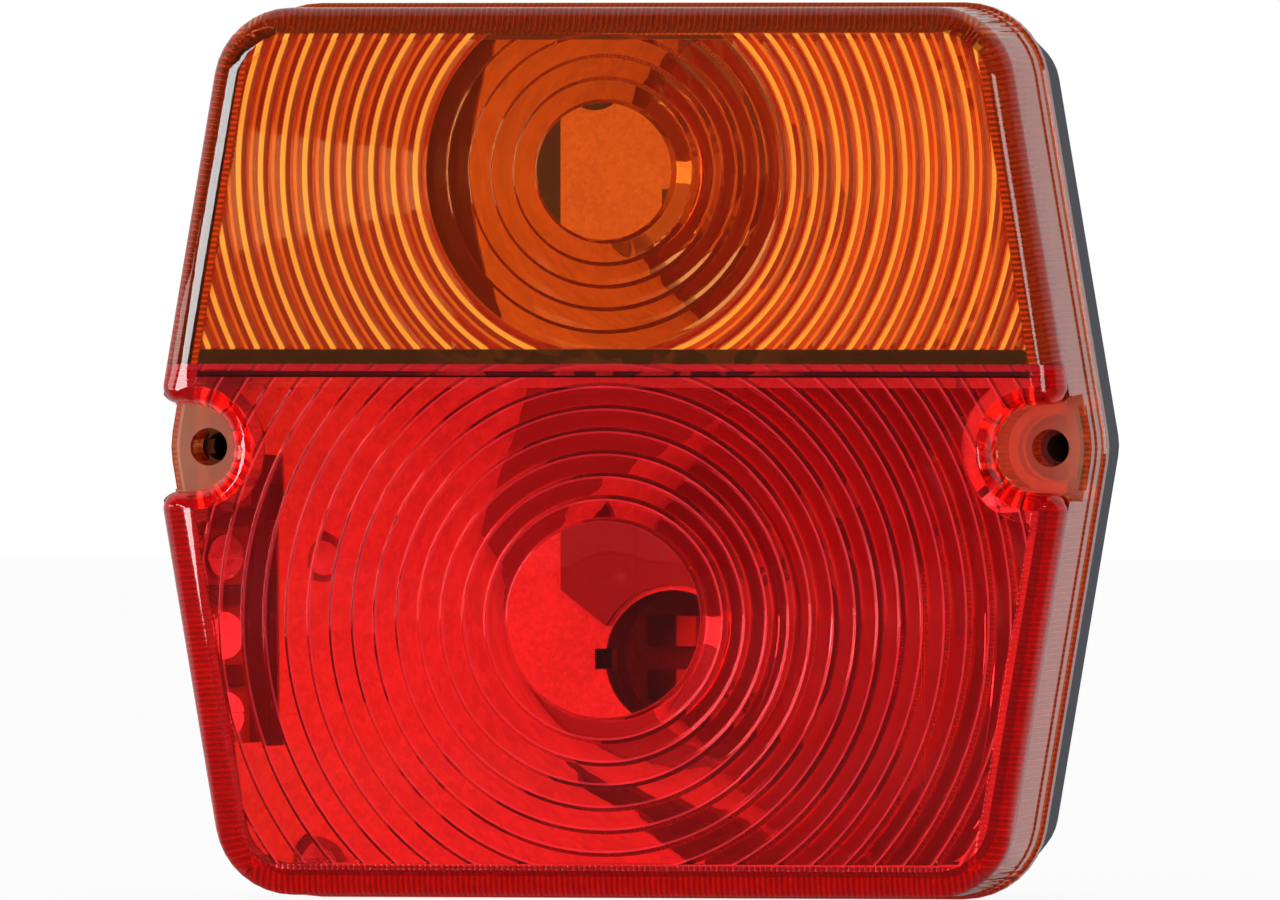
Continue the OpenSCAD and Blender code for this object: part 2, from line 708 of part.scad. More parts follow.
// A pressed steel bulb socket under the sheet whose back is at height z
module socket(at, z) {
    out_r = socket_r + socket_t;
    translate([at.x, at.y, z - socket_t - socket_l]) difference() {
        union() {
            cylinder(r = out_r, h = socket_l + socket_t);
            translate([0, 0, socket_l]) cylinder(r = socket_r + socket_flange, h = socket_t);
            rotate([0, 0, lug_turn]) translate([-lug_reach - lug_end, -2.5 * rivet_r, 0])
                cube([2 * (lug_reach + lug_end), 5 * rivet_r, socket_t]);
        }
        translate([0, 0, -1]) cylinder(r = socket_r, h = socket_l + 3);
        for (p = lugs) translate([p.x, p.y, -1]) cylinder(r = rivet_r, h = 3);
        translate([-out_r - 1, -slot_w / 2, socket_l + socket_t - slot_l])
            cube([2 * out_r + 2, slot_w, slot_l + 1]);
        for (a = [0, 180]) rotate([0, 0, a])
            translate([0, -slot_w / 2, socket_l + socket_t - slot_l])
                cube([out_r + 1, 2 * slot_w, slot_w]);
    }
}

module indicator_socket() { color("silver") facing() socket(indicator_at, plate_z); }
module stop_tail_socket() { color("silver") facing() socket(stop_tail_at, plate_z - sheet_t); }

// A contact board behind a socket, with a slot for each contact spring
module board(at, z, rows) {
    translate([at.x, at.y, z - board_t]) difference() {
        linear_extrude(board_t) difference() {
            translate([-board_w / 2, -board_h / 2]) square([board_w, board_h]);
            for (p = lugs) translate(p) circle(rivet_r);
        }
        for (y = rows) translate([-leaf_root - slip, y - leaf_w / 2 - slip, -1])
            cube([leaf_t + 2 * slip, leaf_w + 2 * slip, board_t + 2]);
    }
}

module indicator_board() { color("peru") facing() board(indicator_at, indicator_board_z, [0]); }
module stop_tail_board() { color("peru") facing() board(stop_tail_at, board_z, contact_rows); }

module board_rivets() {
    color("gainsboro") facing() for (p = lugs) {
        rivet(indicator_at + p, indicator_board_z - board_t, indicator_board_z + socket_t);
        rivet(stop_tail_at + p, board_z - board_t, board_z + socket_t);
    }
}

// A contact spring: its tail runs along the back of the board to x, its root passes
// the board, and its arm arches forward into the socket
module contact(at, z, y, x) {
    back = z - board_t - leaf_t;
    translate([at.x, at.y + y + leaf_w / 2, 0]) rotate([90, 0, 0]) linear_extrude(leaf_w)
        polygon([[x - at.x, back], [-leaf_root + leaf_t, back],
                 [-leaf_root + leaf_t, z + leaf_arch / 9], [-leaf_root / 5, z + 0.9 * leaf_arch],
                 [leaf_root / 6, z + leaf_arch], [leaf_root / 2, z + 0.8 * leaf_arch],
                 [0.6 * leaf_root, z + 0.8 * leaf_arch + 0.8 * leaf_t],
                 [leaf_root / 5, z + leaf_arch + leaf_t],
                 [-leaf_root / 4, z + 0.95 * leaf_arch + leaf_t],
                 [-leaf_root, z + leaf_arch / 9 + leaf_t],
                 [-leaf_root, back + leaf_t], [x - at.x, back + leaf_t]]);
}

// The indicator's tail turns down behind its carrier and then runs to its clamp
module indicator_contact() {
    left = tail_turn - leaf_w / 2;
    color("gold") facing() {
        contact(indicator_at, indicator_board_z, 0, left);
        translate([left, terminal_rows[0] - leaf_w / 2, bar_z[0]])
            cube([leaf_w, indicator_at.y - terminal_rows[0], leaf_t]);
        translate([bar_end, terminal_rows[0] - leaf_w / 2, bar_z[0]])
            cube([tail_turn - bar_end, leaf_w, leaf_t]);
    }
}

module stop_contact() {
    color("gold") facing() contact(stop_tail_at, board_z, contact_rows[0], bar_end);
}

module tail_contact() {
    color("gold") facing() contact(stop_tail_at, board_z, contact_rows[1], bar_end);
}

// A strip from the back of the lower carrier down to its clamp
module ground_strip() {
    high = plate_z - sheet_t;
    low = bar_z[1];
    bend = ground_rivet.x + ground_bend;
    color("gold") facing() difference() {
        translate([0, terminal_rows[1] + leaf_w / 2, 0]) rotate([90, 0, 0]) linear_extrude(leaf_w)
            polygon([[bar_end, low], [bend + leaf_t, low], [bend + leaf_t, high],
                     [ground_rivet.x - ground_bend, high],
                     [ground_rivet.x - ground_bend, high - leaf_t],
                     [bend, high - leaf_t], [bend, low + leaf_t], [bar_end, low + leaf_t]]);
        translate([ground_rivet.x, ground_rivet.y, high - 2 * leaf_t])
            cylinder(r = rivet_r, h = 4 * leaf_t);
    }
}

// A moulded block with a pocket for each clamp, open to the front
module terminal_block() {
    color("black") facing() difference() {
        translate([terminal_x - terminal_w / 2, terminal_rows[3] - terminal_pitch / 2, back_t])
            cube([terminal_w, 4 * terminal_pitch, terminal_h]);
        for (i = [0 : 3]) translate([terminal_x, terminal_rows[i], bar_z[i]]) {
            translate([-clamp_w / 2 - slip, -clamp_h / 2 - slip, 0])
                cube([clamp_w + 2 * slip, clamp_h + 2 * slip, terminal_h]);
            translate([0, 0, leaf_t + clamp_d / 2]) rotate([0, 90, 0])
                cylinder(r = wire_r + 2 * slip, h = terminal_w);
            translate([0, -leaf_w / 2 - slip, 0])
                cube([terminal_w, leaf_w + 2 * slip, leaf_t + slip]);
        }
    }
}

module terminal_clamps() {
    color("gold") facing() for (i = [0 : 3])
        translate([terminal_x, terminal_rows[i], bar_z[i] + leaf_t]) difference() {
            translate([-clamp_w / 2, -clamp_h / 2, 0]) cube([clamp_w, clamp_h, clamp_d]);
            translate([-clamp_w, 0, clamp_d / 2]) rotate([0, 90, 0])
                cylinder(r = wire_r, h = 2 * clamp_w);
            translate([0, 0, clamp_d / 2]) cylinder(r = clamp_screw_r + slip, h = clamp_d);
        }
}

module terminal_screws() {
    color("silver") facing() for (i = [0 : 3])
        translate([terminal_x, terminal_rows[i], bar_z[i] + leaf_t + clamp_d]) difference() {
            union() {
                cylinder(r = 2 * clamp_screw_r, h = 1.5 * clamp_screw_r);
                translate([0, 0, -clamp_d / 2]) cylinder(r = clamp_screw_r, h = clamp_d / 2 + slip);
            }
            translate([-2 * clamp_screw_r, -clamp_screw_r / 4, clamp_screw_r])
                cube([4 * clamp_screw_r, clamp_screw_r / 2, clamp_screw_r]);
        }
}

housing();
cable_grommet();
mounting_bolts();
lens_seal();
amber_lens();
red_lens();
indicator_carrier();
stop_tail_carrier();
carrier_screws();
carrier_rivets();
indicator_socket();
stop_tail_socket();
indicator_board();
stop_tail_board();
board_rivets();
indicator_contact();
stop_contact();
tail_contact();
ground_strip();
terminal_block();
terminal_clamps();
terminal_screws();
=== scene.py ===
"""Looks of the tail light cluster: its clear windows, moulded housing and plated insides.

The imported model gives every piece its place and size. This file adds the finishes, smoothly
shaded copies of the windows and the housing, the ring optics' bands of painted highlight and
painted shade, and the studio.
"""

import math

import bpy
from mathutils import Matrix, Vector


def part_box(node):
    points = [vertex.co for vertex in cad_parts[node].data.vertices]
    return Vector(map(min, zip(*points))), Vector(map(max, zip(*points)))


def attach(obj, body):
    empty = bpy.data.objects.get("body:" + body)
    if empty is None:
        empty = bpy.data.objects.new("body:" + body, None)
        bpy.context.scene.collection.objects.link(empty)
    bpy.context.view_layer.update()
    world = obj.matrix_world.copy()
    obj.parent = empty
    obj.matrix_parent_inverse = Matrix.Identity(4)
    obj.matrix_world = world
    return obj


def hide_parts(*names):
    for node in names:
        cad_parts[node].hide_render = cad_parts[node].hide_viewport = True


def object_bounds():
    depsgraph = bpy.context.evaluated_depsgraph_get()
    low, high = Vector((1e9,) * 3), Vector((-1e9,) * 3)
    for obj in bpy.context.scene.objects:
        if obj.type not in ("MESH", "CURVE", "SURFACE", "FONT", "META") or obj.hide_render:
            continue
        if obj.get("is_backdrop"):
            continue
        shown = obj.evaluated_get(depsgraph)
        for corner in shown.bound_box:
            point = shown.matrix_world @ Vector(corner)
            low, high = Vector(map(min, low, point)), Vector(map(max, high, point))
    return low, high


bl_info = {
    "name": "Tail light cluster",
    "version": (1, 0, 0),
    "blender": (4, 5, 0),
    "location": "View3D > Sidebar > Lamp",
    "description": "Finishes the tail light cluster and sets up its studio",
    "category": "Object",
}

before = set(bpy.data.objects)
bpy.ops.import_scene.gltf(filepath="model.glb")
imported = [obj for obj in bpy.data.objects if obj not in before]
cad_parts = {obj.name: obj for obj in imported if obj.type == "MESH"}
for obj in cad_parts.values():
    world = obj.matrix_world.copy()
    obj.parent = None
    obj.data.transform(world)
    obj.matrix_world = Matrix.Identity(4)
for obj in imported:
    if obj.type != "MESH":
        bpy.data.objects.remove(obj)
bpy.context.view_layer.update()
MM = 0.001
BODY = "root"
FACE_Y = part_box("red_lens")[0].y
FLANGE_OUT = 0.6 * MM  # how far the flange stands out of the windows' outline
HALF_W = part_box("amber_lens")[1].x - FLANGE_OUT
TOP_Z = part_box("amber_lens")[1].z
FOOT_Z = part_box("red_lens")[0].z
LEAN = math.radians(9.55)  # of the outline's sides
EDGE_R = 3 * MM
RING_PITCH = 2.5 * MM
RING_RIM = 80 * MM  # past the windows' farthest corner
SEAT_D = 11.8 * MM
CLEAR_IOR = 1.49

# Middles of the ring optics, and their radii where the rings begin and where ridges follow
AMBER_MIDDLE, AMBER_STEPS, AMBER_RIDGES = (-0.9 * MM, 30.7 * MM), 7.6 * MM, 20.1 * MM
RED_MIDDLE, RED_STEPS = (-0.9 * MM, -19.0 * MM), 10.9 * MM

# Heights between which the housing's dark wall lies against each window
AMBER_WALL, RED_WALL = (9.35 * MM, 10.9 * MM), (7.9 * MM, 8.5 * MM)
TONGUE_Z = 8.6 * MM  # from here up the red window lies inside the amber one

# Places between which a share rises from 0 to 1: from the outline inwards, from the face or
# from the skin into the depth, and from the lamp's middle outwards
FLUTES_END_INWARD, FLUTES_START_UNDER = (3.3 * MM, 3.7 * MM), (0.6 * MM, 1.2 * MM)
RINGS_START_INWARD = (3.4 * MM, 3.6 * MM)
RINGS_START_DEEP, RINGS_END_DEEP = (2.3 * MM, 2.45 * MM), (4.4 * MM, 4.6 * MM)
SKIRT_START_DEEP = (5 * MM, 7 * MM)
NOTCH_END_UP = (5.2 * MM, 5.8 * MM)
SEAT_END_UP, SEAT_END_DEEP = (6 * MM, 6.3 * MM), (0.3 * MM, 0.5 * MM)
BROKEN_END_OUT = (16 * MM, 24 * MM)
SHARP = 0.1 * MM

# Colours of what the clear plastic scatters, and of the light that it lets through to shadows
WALL_DARK, SEAT_PALE = (0.010, 0.002, 0.001), (0.46, 0.19, 0.12)
AMBER_SHADE, RED_SHADE = (1.0, 0.50, 0.20), (1.0, 0.29, 0.305)
WALL_HAZE, WALL_GAPS, TONGUE_HAZE = 0.97, 0.7, 0.6

# Each lamp's turn in degrees, distance, width and height in metres, and watts
LAMPS = (
    ("left_lamp", -36, 0.9, (0.55, 0.36), 8.5),
    ("side_lamp", -80, 0.9, (0.50, 0.26), 1.6),
    ("right_lamp", 30, 1.0, (0.26, 0.36), 1.9),
)
AIM = Vector((3.0 * MM, FACE_Y + 2.65 * MM, -0.2 * MM))  # the picture's middle
FLOOR_WHITE = 0.92  # share of the floor that is plain white to the camera
RAYS = ("Is Camera Ray", "Is Glossy Ray", "Is Transmission Ray")


class LampSizes(bpy.types.PropertyGroup):
    """Sizes of what the finishes add to the model."""

    flute_pitch: bpy.props.FloatProperty(
        name="Flute pitch", description="Distance between two flutes inside the windows' edge",
        default=0.62 * MM, min=0.3 * MM, max=1.5 * MM, precision=5, unit="LENGTH")
    flute_depth: bpy.props.FloatProperty(
        name="Flute depth", description="How deep the flutes are",
        default=0.16 * MM, min=0.0, max=0.3 * MM, precision=5, unit="LENGTH")
    smooth_angle: bpy.props.FloatProperty(
        name="Smoothing angle", description="Edges flatter than this are shaded smooth",
        default=math.radians(24), min=0.0, max=math.radians(60), subtype="ANGLE")
    spangle: bpy.props.FloatProperty(
        name="Spangle size", description="Size of the crystals in the carriers' zinc",
        default=0.55 * MM, min=0.2 * MM, max=8 * MM, precision=4, unit="LENGTH")
    body_haze: bpy.props.FloatProperty(
        name="Haze of the plastic", description="Share of light that the clear plastic scatters",
        default=0.02, min=0.0, max=0.5, subtype="FACTOR")
    ring_haze: bpy.props.FloatProperty(
        name="Haze of the rings", description="Share that the ring optics scatter",
        default=0.12, min=0.0, max=0.5, subtype="FACTOR")
    skirt_haze: bpy.props.FloatProperty(
        name="Haze of the skirt", description="Share that the thick outer skirt scatters",
        default=0.42, min=0.0, max=1.0, subtype="FACTOR")
    seat_haze: bpy.props.FloatProperty(
        name="Haze of the seats", description="Share that the matt seats of the screws scatter",
        default=0.6, min=0.0, max=1.0, subtype="FACTOR")
    edge_haze: bpy.props.FloatProperty(
        name="Haze of the fluted edge", description="Share that the fluted edge scatters",
        default=0.85, min=0.0, max=1.0, subtype="FACTOR")
    grain: bpy.props.FloatProperty(
        name="Moulded grain", description="Size of the fine grain on the housing",
        default=0.25 * MM, min=0.05 * MM, max=1 * MM, precision=5, unit="LENGTH")


class LampColours(bpy.types.PropertyGroup):
    """Colours of the finishes."""

    amber: bpy.props.FloatVectorProperty(
        name="Amber", description="Tint of the amber window", subtype="COLOR",
        size=3, default=(0.88, 0.37, 0.10), min=0, max=1)
    red: bpy.props.FloatVectorProperty(
        name="Red", description="Tint of the red window", subtype="COLOR",
        size=3, default=(1.0, 0.14, 0.155), min=0, max=1)
    amber_body: bpy.props.FloatVectorProperty(
        name="Amber haze", description="Colour of the light scattered in the amber edge",
        subtype="COLOR", size=3, default=(0.80, 0.13, 0.03), min=0, max=1)
    red_body: bpy.props.FloatVectorProperty(
        name="Red haze", description="Colour of the light scattered in the red edge",
        subtype="COLOR", size=3, default=(0.55, 0.02, 0.03), min=0, max=1)
    housing: bpy.props.FloatVectorProperty(
        name="Housing", description="Colour of the moulded housing", subtype="COLOR",
        size=3, default=(0.050, 0.055, 0.075), min=0, max=1)
    zinc: bpy.props.FloatVectorProperty(
        name="Zinc", description="Colour of the galvanised carriers", subtype="COLOR",
        size=3, default=(0.64, 0.60, 0.50), min=0, max=1)
    # The brass is darker than clean brass so that the springs deep in the socket holes look dark:
    # painted shade
    brass: bpy.props.FloatVectorProperty(
        name="Brass", description="Colour of the contact springs", subtype="COLOR",
        size=3, default=(0.34, 0.25, 0.11), min=0, max=1)
    laminate: bpy.props.FloatVectorProperty(
        name="Laminate", description="Colour of the contact boards", subtype="COLOR",
        size=3, default=(0.12, 0.055, 0.022), min=0, max=1)
    floor: bpy.props.FloatVectorProperty(
        name="Floor", description="Colour of the studio's floor", subtype="COLOR",
        size=3, default=(0.86, 0.86, 0.86), min=0, max=1)


class StudioSizes(bpy.types.PropertyGroup):
    """Where the camera and the lamps of the studio stand."""

    turn: bpy.props.FloatProperty(
        name="Camera turn", description="How far right of the lamp's axis the camera stands",
        default=math.radians(10.6), subtype="ANGLE")
    rise: bpy.props.FloatProperty(
        name="Camera rise", description="Angle of the camera above the lamp's middle",
        default=math.radians(0.5), subtype="ANGLE")
    distance: bpy.props.FloatProperty(
        name="Camera distance", description="Distance from the camera to the windows",
        default=3.4, unit="LENGTH")
    focal: bpy.props.FloatProperty(
        name="Focal length", description="Focal length in millimetres for a 36 mm sensor",
        default=862.5, min=50, max=1000)
    room: bpy.props.FloatProperty(
        name="Room light", description="Soft light that the room sends to every matt surface",
        default=0.72, min=0, max=2)
    gloss_front: bpy.props.FloatProperty(
        name="Front in gloss", description="How bright the camera's side shows in shiny surfaces",
        default=0.05, min=0, max=2)
    gloss_back: bpy.props.FloatProperty(
        name="Back in gloss", description="How bright the white side shows in shiny surfaces",
        default=0.55, min=0, max=2)


class Value:
    """An output of a shader node that can stand in an ordinary sum."""

    def __init__(self, finish, socket):
        self.finish, self.socket = finish, socket

    def sum(self, operation, *terms):
        return self.finish.node("ShaderNodeMath", {"operation": operation},
                                dict(enumerate(terms)))

    def __add__(self, other):
        return self.sum("ADD", self, other)

    def __radd__(self, other):
        return self.sum("ADD", other, self)

    def __sub__(self, other):
        return self.sum("SUBTRACT", self, other)

    def __rsub__(self, other):
        return self.sum("SUBTRACT", other, self)

    def __mul__(self, other):
        return self.sum("MULTIPLY", self, other)

    def __rmul__(self, other):
        return self.sum("MULTIPLY", other, self)

    def __truediv__(self, other):
        return self.sum("DIVIDE", self, other)

    def __pow__(self, other):
        return self.sum("POWER", self, other)

    def __abs__(self):
        return self.sum("ABSOLUTE", self)

    def least(self, other):
        return self.sum("MINIMUM", self, other)

    def most(self, other):
        return self.sum("MAXIMUM", self, other)

    def fraction(self):
        return self.sum("FRACT", self)

    def wave(self):
        """The sine of this angle."""
        return self.sum("SINE", self)

    def step(self, start, end):
        """Rises smoothly from 0 at start to 1 at end."""
        return self.finish.node("ShaderNodeMapRange", {"interpolation_type": "SMOOTHSTEP"},
                                {"Value": self, "From Min": start, "From Max": end})


class Finish:
    """A material, or the world's background, that is being put together."""

    def __init__(self, name, world=False):
        kept = bpy.data.worlds if world else bpy.data.materials
        self.result = kept.get(name) or kept.new(name)
        self.result.use_nodes = True
        self.tree = self.result.node_tree
        self.tree.nodes.clear()
        kind = "ShaderNodeOutputWorld" if world else "ShaderNodeOutputMaterial"
        self.out = self.tree.nodes.new(kind)

    def node(self, kind, settings=None, inputs=None, out=0):
        """Adds a node: its settings first, then a value or a link for each of its sockets."""
        made = self.tree.nodes.new(kind)
        for name, value in (settings or {}).items():
            if name == "stops":
                ramp = made.color_ramp
                for i, (place, colour) in enumerate(value):
                    stop = ramp.elements[i] if i < 2 else ramp.elements.new(place)
                    stop.position, stop.color = place, (*colour, 1.0)[:4]
            else:
                setattr(made, name, value)
        for name, value in (inputs or {}).items():
            socket = made.inputs[name]
            if isinstance(value, Value):
                self.tree.links.new(value.socket, socket)
            elif hasattr(socket.default_value, "__len__") and len(socket.default_value) == 4:
                socket.default_value = (*value, 1.0) if len(value) == 3 else value
            else:
                socket.default_value = value
        return Value(self, made.outputs[out])

    def place(self):
        return self.node("ShaderNodeTexCoord", out="Object")

    def scaled(self, size):
        """Object coordinates in units of size, so that a pattern has that scale."""
        return self.node("ShaderNodeVectorMath", {"operation": "SCALE"},
                         {0: self.place(), "Scale": 1 / size})

    def axes(self, vector):
        """The three parts of a vector."""
        split = self.node("ShaderNodeSeparateXYZ", inputs={0: vector})
        return [Value(self, split.socket.node.outputs[i]) for i in range(3)]

    def noise(self, size, detail=2.0, rough=0.5):
        return self.node("ShaderNodeTexNoise", {"noise_dimensions": "3D"},
                         {"Vector": self.scaled(size), "Scale": 1.0, "Detail": detail,
                          "Roughness": rough})

    def crystals(self, size):
        return self.node("ShaderNodeTexVoronoi", {"feature": "F1"},
                         {"Vector": self.scaled(size), "Scale": 1.0}, out="Color")

    def blend(self, share, low, high):
        """A colour between low and high."""
        return self.node("ShaderNodeMix", {"data_type": "RGBA", "clamp_factor": True},
                         {0: share, 6: low, 7: high}, out=2)

    def bump(self, height, depth):
        return self.node("ShaderNodeBump", {}, {"Height": height, "Distance": depth,
                                                "Strength": 1.0})

    def close(self, shader):
        """Links the last shader to the output and gives back what was put together."""
        self.tree.links.new(shader.socket, self.out.inputs["Surface"])
        return self.result

    def surface(self, **inputs):
        """The one shader of a solid piece."""
        names = {name.replace("_", " "): value for name, value in inputs.items()}
        return self.close(self.node("ShaderNodeBsdfPrincipled", {}, names))

    def mixed(self, share, first, second):
        """A shader between two others."""
        made = self.node("ShaderNodeMixShader", {}, {0: share})
        self.tree.links.new(first.socket, made.socket.node.inputs[1])
        self.tree.links.new(second.socket, made.socket.node.inputs[2])
        return made

    def clear(self, tint, body, shade, haze, normal):
        """Clear plastic with some haze, which lets the lamps light what is behind it."""
        glass = self.node("ShaderNodeBsdfPrincipled", {}, {
            "Base Color": tint, "Transmission Weight": 1.0, "IOR": CLEAR_IOR, "Roughness": 0.0,
            "Normal": normal})
        cloudy = self.node("ShaderNodeBsdfPrincipled", {}, {
            "Base Color": body, "IOR": CLEAR_IOR, "Roughness": 0.06, "Normal": normal})
        passing = self.node("ShaderNodeBsdfTransparent", {}, {"Color": shade})
        shadow = self.node("ShaderNodeLightPath", out="Is Shadow Ray")
        return self.close(self.mixed(shadow, self.mixed(haze, glass, cloudy), passing))


def sizes():
    return bpy.context.scene.lamp_sizes


def colours():
    return bpy.context.scene.lamp_colours


def studio():
    return bpy.context.scene.lamp_studio


def only(*objects):
    """Selects these objects alone and makes the last one active."""
    if bpy.context.object and bpy.context.object.mode != "OBJECT":
        bpy.ops.object.mode_set(mode="OBJECT")
    bpy.ops.object.select_all(action="DESELECT")
    for piece in objects:
        piece.select_set(True)
        bpy.context.view_layer.objects.active = piece


def dress(material, *pieces):
    """Gives pieces one material, whatever slots they came with."""
    for piece in pieces:
        piece.data.materials.clear()
        piece.data.materials.append(material)


def nodes(*names):
    return [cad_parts[name] for name in names]


def way_to(turn, rise=0.0):
    """The direction from the windows to what stands in front of them at this turn and rise."""
    return Vector((math.sin(turn) * math.cos(rise), -math.cos(turn) * math.cos(rise),
                   math.sin(rise)))


def gloss_at(behind):
    """How bright the surroundings show in shiny surfaces, from the camera's side to the back."""
    return studio().gloss_front + behind * (studio().gloss_back - studio().gloss_front)


def smoothed(node, name):
    """A merged copy of a CAD node, shaded smooth, that is shown in its place."""
    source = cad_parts[node]
    piece = bpy.data.objects.new(name, source.data.copy())
    bpy.context.scene.collection.objects.link(piece)
    only(piece)
    bpy.ops.object.mode_set(mode="EDIT")
    bpy.ops.mesh.select_all(action="SELECT")
    bpy.ops.mesh.remove_doubles(threshold=1e-6)
    bpy.ops.object.mode_set(mode="OBJECT")
    if piece.data.has_custom_normals:
        bpy.ops.mesh.customdata_custom_splitnormals_clear()
    bpy.ops.object.shade_smooth_by_angle(angle=sizes().smooth_angle)
    bpy.ops.object.modifier_add(type="WEIGHTED_NORMAL")
    even = piece.modifiers[-1]
    even.mode, even.weight, even.keep_sharp = "FACE_AREA", 100, True
    bpy.ops.object.modifier_apply(modifier=even.name)
    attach(piece, BODY)
    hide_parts(node)
    return piece


def edge_place(x, y, z):
    """How far a point lies inside the windows' outline, along it, and under their skin."""
    side = (HALF_W - abs(z) * math.tan(LEAN) - abs(x)) * math.cos(LEAN)
    ends = (TOP_Z - z).least(z - FOOT_Z)
    at_side = (ends - side).step(-0.2 * MM, 0.2 * MM)
    along = x + at_side * (z - x)
    inward = side.least(ends)
    short = (EDGE_R - inward).most(0.0)
    shallow = (EDGE_R + FACE_Y - y).most(0.0)
    under = EDGE_R - (short * short + shallow * shallow) ** 0.5
    return inward, along, under


def bands(*parts):
    """Stops of a ramp across one ring: each part has its end, its colour and its haze."""
    stops, start, soft = [], 0.0, 0.012
    for end, colour, haze in parts:
        stops += [(start + soft, (*colour, haze)), (end - soft, (*colour, haze))]
        start = end
    return stops


def ring_band(finish, radius, first, last, stops):
    """The colour and haze of the rings between two radii, and where these rings are."""
    phase = ((radius - first) / RING_PITCH).fraction()
    ramp = finish.node("ShaderNodeValToRGB", {"stops": stops}, {"Fac": phase})
    within = radius.step(first - SHARP, first) * (1 - radius.step(last - SHARP, last))
    return ramp, Value(finish, ramp.socket.node.outputs["Alpha"]), within


def clear_plastic(name, tint, body, shade, fluted, middle, rings, wall_z, tongue_z):
    """Dyed acrylic with fine flutes from front to back on the inner side of its edge.

    fluted is the strength of the flutes. rings gives the radii between which each kind of ring
    lies round the optic's middle, with its bands of painted highlight and painted shade. The
    housing's dark wall lies against the plastic between the heights wall_z, and from tongue_z
    upwards the plastic is hazy.
    """
    finish = Finish(name)
    x, y, z = finish.axes(finish.place())
    inward, along, under = edge_place(x, y, z)
    deep = y - FACE_Y
    out_x, out_z = x - middle[0], z - middle[1]
    radius = (out_x * out_x + out_z * out_z) ** 0.5

    #     The fluted edge, with painted shade in its colour where the flutes' relief is low
    inner = under.step(*FLUTES_START_UNDER) * (1 - inward.step(*FLUTES_END_INWARD))
    inner = inner * abs(z).step(*NOTCH_END_UP)
    wave = (along * (2 * math.pi / sizes().flute_pitch)).wave() * (0.5 * fluted) + 0.5
    relief = (wave * inner * sizes().flute_depth * fluted
              + finish.noise(6 * MM, 0.0) * (0.004 * MM))
    uneven = finish.noise(1.1 * MM, 1.0, 0.6)
    # Painted shade: the scattered colour darkens with the flutes' troughs, mixed with random
    # unevenness
    flute_shade = tuple(0.3 * c for c in body)
    scattered = finish.blend(wave * 0.6 + uneven * 0.4, flute_shade, body)

    # Haze of the whole, of the edge, of what lies inside the other window, and of the skirt
    haze = sizes().body_haze + inner * (0.5 + wave * 0.5) * sizes().edge_haze
    haze = haze.most(z.step(tongue_z, tongue_z + 2 * SHARP) * TONGUE_HAZE)
    haze = haze.most(deep.step(*SKIRT_START_DEEP) * sizes().skirt_haze)

    # The dark wall, with gaps near the middle
    inside = (inward.step(*RINGS_START_INWARD) * deep.step(*RINGS_START_DEEP)
              * (1 - deep.step(*RINGS_END_DEEP)))
    low, high = wall_z
    over, below = z.step(high, high + SHARP), z.step(low - SHARP, low)
    wall, field = inside * (below - over), inside * (over + 1 - below)
    gaps = finish.noise(3 * MM, 1.0).step(0.46, 0.54) * (1 - abs(x).step(*BROKEN_END_OUT))
    haze = haze.most(wall * (WALL_HAZE - gaps * WALL_GAPS))
    scattered = finish.blend(wall, scattered, WALL_DARK)

    #     Painted highlight and shade of the rings on the back of the window, and the matt seats
    #     of the screws
    for first, last, stops in rings:
        colour, share, within = ring_band(finish, radius, first, last, stops)
        within = field * within
        haze = haze.most(share * within)
        scattered = finish.blend(within, scattered, colour)
    seat = (1 - abs(deep - SEAT_D).step(*SEAT_END_DEEP)) * (1 - abs(z).step(*SEAT_END_UP))
    haze = haze.most(seat * sizes().seat_haze)
    scattered = finish.blend(seat, scattered, SEAT_PALE)
    return finish.clear(tint, scattered, shade, haze, finish.bump(relief, 1.0))


def amber_plastic():
    """Fine steps round the plain disc, then narrow ridges. The gold and pale orange lines where
    the ridges catch the light are painted highlights; the dark bands at the steps' risers and
    between the lines are painted shade.
    """
    plain = ((0.62, 0.07, 0.02), sizes().ring_haze)
    groove, painted_orange_shade, painted_gold_highlight = (0.70, 0.12, 0.02), (0.42, 0.028, 0.018), (1.0, 1.0, 0.45)
    painted_step_shade, painted_orange_highlight = (0.40, 0.05, 0.02), (1.0, 0.42, 0.12)
    steps_end = AMBER_RIDGES - RING_PITCH
    # Bands across each ring: painted shade at the risers and in deep orange, painted highlights
    # in gold and pale orange
    rings = (
        (AMBER_STEPS, steps_end, bands((0.16, painted_step_shade, 0.45), (1.0, *plain))),
        (steps_end, AMBER_RIDGES, bands((1.0, *plain))),
        (AMBER_RIDGES, RING_RIM, bands((0.08, groove, 0.3), (0.40, painted_orange_shade, 0.55),
                                       (0.62, painted_gold_highlight, 0.92), (0.86, painted_orange_shade, 0.6),
                                       (1.0, painted_orange_highlight, 0.6))))
    return clear_plastic("amber_acrylic", tint=tuple(colours().amber),
                         body=tuple(colours().amber_body), shade=AMBER_SHADE, fluted=1.0,
                         middle=AMBER_MIDDLE, rings=rings, wall_z=AMBER_WALL,
                         tongue_z=TOP_Z + MM)


